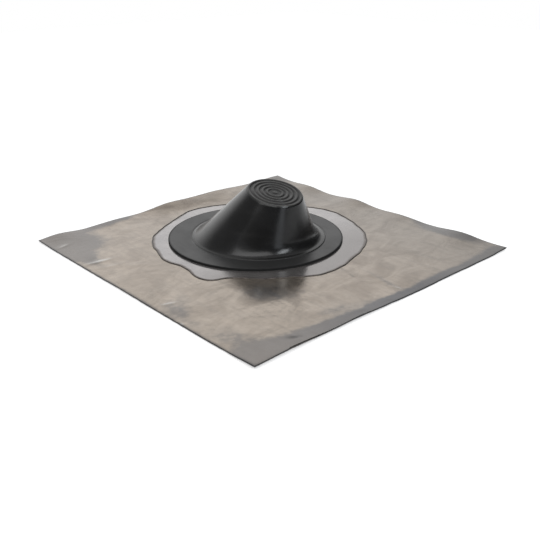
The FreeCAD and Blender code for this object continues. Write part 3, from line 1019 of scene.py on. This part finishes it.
def cone_outside():
    """The crease's groove, the flare with its second step, the wall and the crown's edge."""
    knee = mixed(foot, crown, KNEE_LIFT / CROWN_RISE)
    wall_start = mixed(foot, crown, FLARE_HEIGHT / CROWN_RISE)
    rows = [lifted(scaled(crease, size), lift) for size, lift in GROOVE]
    start = lifted(scaled(crease, 0.985), 0.6 * MM)
    for share in steps(22, 0.02):
        step = FLARE_STEP / (1 + math.exp((share - STEP_SHARE) / STEP_RUN)) - FLARE_STEP
        rows.append(lifted(bent(start, knee, wall_start, share), step * (1 - share)))
    wall_end = mixed(crown, foot, CROWN_EDGE / CROWN_RISE)
    rows += [mixed(wall_start, wall_end, share) for share in steps(36)[1:]]
    over = crown_circle(CROWN_RADIUS - CROWN_EDGE, 0.0)
    rows += [bent(wall_end, crown, over, share) for share in steps(6)[1:]]
    return rows


outside = flange_outside() + cone_outside()
print("rows outside", len(outside))

# %% [markdown]
# Inside, the wall follows the outside one wall thickness away. Its ellipses are smaller and lie
# a little down the slope, because the cone leans. Underneath, the flange is flat and sits on the
# film. For the rubber's finish, numbers on the points mark the crown, the flange and its side.

# %% Inside of the boot
CROWN_ROW = 0.34 * MM  # spacing of the crown's rows, fine enough for its rings
PINHOLE = 0.02 * MM  # radius of its last row
# Where the wall's inside starts and ends: radius, and shift along Y.
INNER_CROWN_RADIUS, INNER_CROWN_SHIFT = CROWN_RADIUS - 1.55 * MM, -0.57 * MM
INNER_FOOT_RADIUS, INNER_FOOT_SHIFT = FOOT_RADIUS - 1.3 * MM, FOOT_OFFSET - 0.75 * MM
UNDERSIDE_RADIUS = CROWN_RADIUS - 2.6 * MM
MOUTH_SIZE = 1 - 1.5 / 93  # beside the crease
INNER_EDGE = 0.15 * MM  # how far the flange's underside stops short of its side


def crown_face():
    """Rows from the crown's edge in to a pinhole at its middle."""
    count = round((CROWN_RADIUS - CROWN_EDGE) / CROWN_ROW)
    start = (CROWN_RADIUS - CROWN_EDGE) * (1 - 1 / count)
    return [crown_circle(mixed(start, PINHOLE, share), 0.0) for share in steps(count)]


def boot_inside():
    """Down from the middle of the crown's underside to the flange's outer edge."""
    inner_crown = crown_circle(INNER_CROWN_RADIUS, -CROWN_THICKNESS)
    inner_crown[0][1] += INNER_CROWN_SHIFT
    inner_foot = flat_circle(INNER_FOOT_RADIUS, FLANGE_BOTTOM)
    inner_foot[0][1] += INNER_FOOT_SHIFT
    mouth = lifted(scaled(crease, MOUTH_SIZE), -FLANGE_THICKNESS)
    wall_start = mixed(inner_foot, inner_crown, FLARE_HEIGHT / CROWN_RISE)
    knee = lifted(inner_foot, KNEE_LIFT)
    rows = [crown_circle(UNDERSIDE_RADIUS * share, -CROWN_THICKNESS)
            for share in steps(8, 0.001)]
    rows += [mixed(inner_crown, wall_start, share) for share in steps(16)]
    rows += [bent(wall_start, knee, mouth, share) for share in steps(10)[1:]]
    outer = flat_circle(FLANGE_RADIUS - INNER_EDGE, FLANGE_BOTTOM)
    rows += [mixed(mouth, outer, share) for share in steps(10)[1:]]
    return rows


crown_rows = crown_face()
inside_rows = boot_inside()
profile = outside + crown_rows + inside_rows
boot = ring_stack("rubber_cone", [drawn(shape) for shape in profile])
SIDE_ROWS = 11  # rows up the flange's side and over its rounded edge
CROWN_ROUND_ROWS = 2  # rows of the crown's rounded edge that count as its face


def row_mask(start, stop, ease=0):
    """One on a run of rows and nought elsewhere, eased over a few rows at its end."""
    rows = np.zeros(len(profile))
    rows[start:stop] = 1.0
    for step in range(ease):
        rows[stop + step] = 1 - (step + 1) / (ease + 1)
    return np.repeat(rows, AROUND)


paint(boot, "crown", row_mask(len(outside) - CROWN_ROUND_ROWS, len(outside) + len(crown_rows)))
paint(boot, "flange", row_mask(0, len(flange_outside()), 6))
paint(boot, "trimmed", row_mask(0, SIDE_ROWS, 2))
print("boot faces", len(boot.data.polygons), "of them on the crown", AROUND * len(crown_rows))

# %% [markdown]
# ## Cutting rings
#
# The crown carries raised rings, one for each size of pipe, that guide the knife. They repeat by
# a rule: first radius, then an even pitch. That is a job for Geometry Nodes, where each point
# asks for its own distance from the crown's axis, finds the nearest ring and lifts itself by the
# ring's rounded section. Changing one input moves or adds rings. The nub in the middle, where
# the mould was filled, is lifted the same way.

# %% Geometry nodes for the rings
RINGS = {"First ring": 10.4 * MM, "Pitch": 6.3 * MM, "Count": 5.0, "Half width": 2.2 * MM,
         "Height": 1.08 * MM, "Nub radius": 4.0 * MM, "Nub height": 0.8 * MM}
BLUNTNESS = 2.6  # 2 would give the rings a round section


def ring_tree(material):
    """Lifts points of the crown into rings about its axis."""
    tree = FieldGraph("cutting_rings", RINGS)
    given = tree.given
    spot = tree.add("GeometryNodeInputPosition")
    radius = tree.vector("LENGTH", tree.vector("SUBTRACT", spot, crown_middle.tolist()))
    beyond = tree.maths("SUBTRACT", radius, given["First ring"])
    turn = tree.maths("ROUND", tree.maths("DIVIDE", beyond, given["Pitch"]))
    last = tree.maths("SUBTRACT", given["Count"], 1.0)
    nearest = tree.maths("MINIMUM", tree.maths("MAXIMUM", turn, 0.0), last)
    ridge = tree.maths("MULTIPLY_ADD", nearest, given["Pitch"], given["First ring"])
    off = tree.maths("ABSOLUTE", tree.maths("SUBTRACT", radius, ridge))

    def dome(distance, width, height):
        """Lift at a distance from the top of a rounded ridge."""
        share = tree.maths("MINIMUM", tree.maths("DIVIDE", distance, width), 1.0)
        left = tree.maths("SUBTRACT", 1.0, tree.maths("POWER", share, BLUNTNESS))
        return tree.times(left, height)

    rings_lift = dome(off, given["Half width"], given["Height"])
    nub_lift = dome(radius, given["Nub radius"], given["Nub height"])
    lift = tree.maths("MAXIMUM", rings_lift, nub_lift)
    on_face = tree.add("GeometryNodeInputNamedAttribute", {"Name": "crown"}, data_type="FLOAT")
    lift = tree.times(lift, on_face)
    offset = tree.add("ShaderNodeVectorMath", {0: crown_axis.tolist(), "Scale": lift},
                      operation="SCALE")
    moved = tree.add("GeometryNodeSetPosition", {"Geometry": given["Geometry"],
                                                 "Offset": offset})
    share = tree.maths("DIVIDE", lift, given["Height"])
    marked = tree.add("GeometryNodeStoreNamedAttribute",
                      {"Geometry": moved, "Name": "ridge", "Value": share}, data_type="FLOAT",
                      domain="POINT")
    tree.finish(marked, material)
    return tree


print("ring tree written")

# %% [markdown]
# ## The rubber's finish
#
# Moulded EPDM rubber is black and satin. It mirrors the room softly, with a fine orange-peel
# from the mould, and dust and handling leave faint pale smears. The colour is close to black
# and the sheen does most of the work. On the crown, painted shade darkens the grooves between
# the cutting rings and a painted highlight lightens their crests.

# %% Rubber finish
BLACK, GREYED = tone(18, 18, 18), tone(25, 25, 26)
SMEARS, PALER_FLANGE = tone(38, 37, 36), tone(46, 46, 46)
# Painted shade in the grooves between the rings, and a painted highlight on their crests.
GROOVE_SHADE, CREST_HIGHLIGHT = tone(10, 10, 10), tone(60, 59, 58)
TRIMMED_SIDE = tone(14, 14, 14)
rubber_finish, graph, place = finish("moulded_rubber")
cloud = graph.noise(place, 30.0, 4.0, 0.6)
fine = graph.noise(place, 420.0, 3.0, 0.6)
swirl = graph.noise(graph.stretched(place, 40.0, 12.0, 90.0), 1.0, 3.0, 0.6, 1.2)
body = graph.blend(graph.ramp(cloud, 0.3, 0.7), BLACK, GREYED)
body = graph.blend(graph.ramp(swirl, 0.5, 0.8, 0.0, 0.35), body, SMEARS)
rough = graph.maths("ADD", graph.ramp(cloud, 0.3, 0.7, 0.18, 0.23),
                    graph.ramp(swirl, 0.4, 0.8, 0.0, 0.06))
# The flange is made paler and rougher than the cone.
flat = painted(graph, "flange")
body = graph.blend(graph.times(flat, 0.85), body, PALER_FLANGE)
rough = graph.maths("MULTIPLY_ADD", flat, 0.17, rough)
# Painted highlight on the ring crests, painted shade in the grooves between them.
crest_highlight = graph.times(painted(graph, "ridge"), graph.ramp(fine, 0.3, 0.7, 0.6, 1.0))
between = graph.maths("SUBTRACT", 1.0, painted(graph, "ridge"))
groove = graph.times(painted(graph, "crown"), between)
body = graph.blend(groove, body, GROOVE_SHADE)
body = graph.blend(crest_highlight, body, CREST_HIGHLIGHT)
rough = graph.maths("MULTIPLY_ADD", painted(graph, "crown"), 0.08, rough)
trimmed = painted(graph, "trimmed")
body = graph.blend(trimmed, body, TRIMMED_SIDE)
rough = graph.maths("MULTIPLY_ADD", trimmed, 0.5, rough)
peel = bump(graph, fine, 0.05, 0.3 * MM)
surface(graph, body, rough, bump(graph, cloud, 0.14, 1.0 * MM, Normal=peel))
apply_tree(boot, ring_tree(rubber_finish), RINGS)
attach(boot, "root")
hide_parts("rubber_boot")
print("boot points", len(boot.data.vertices))
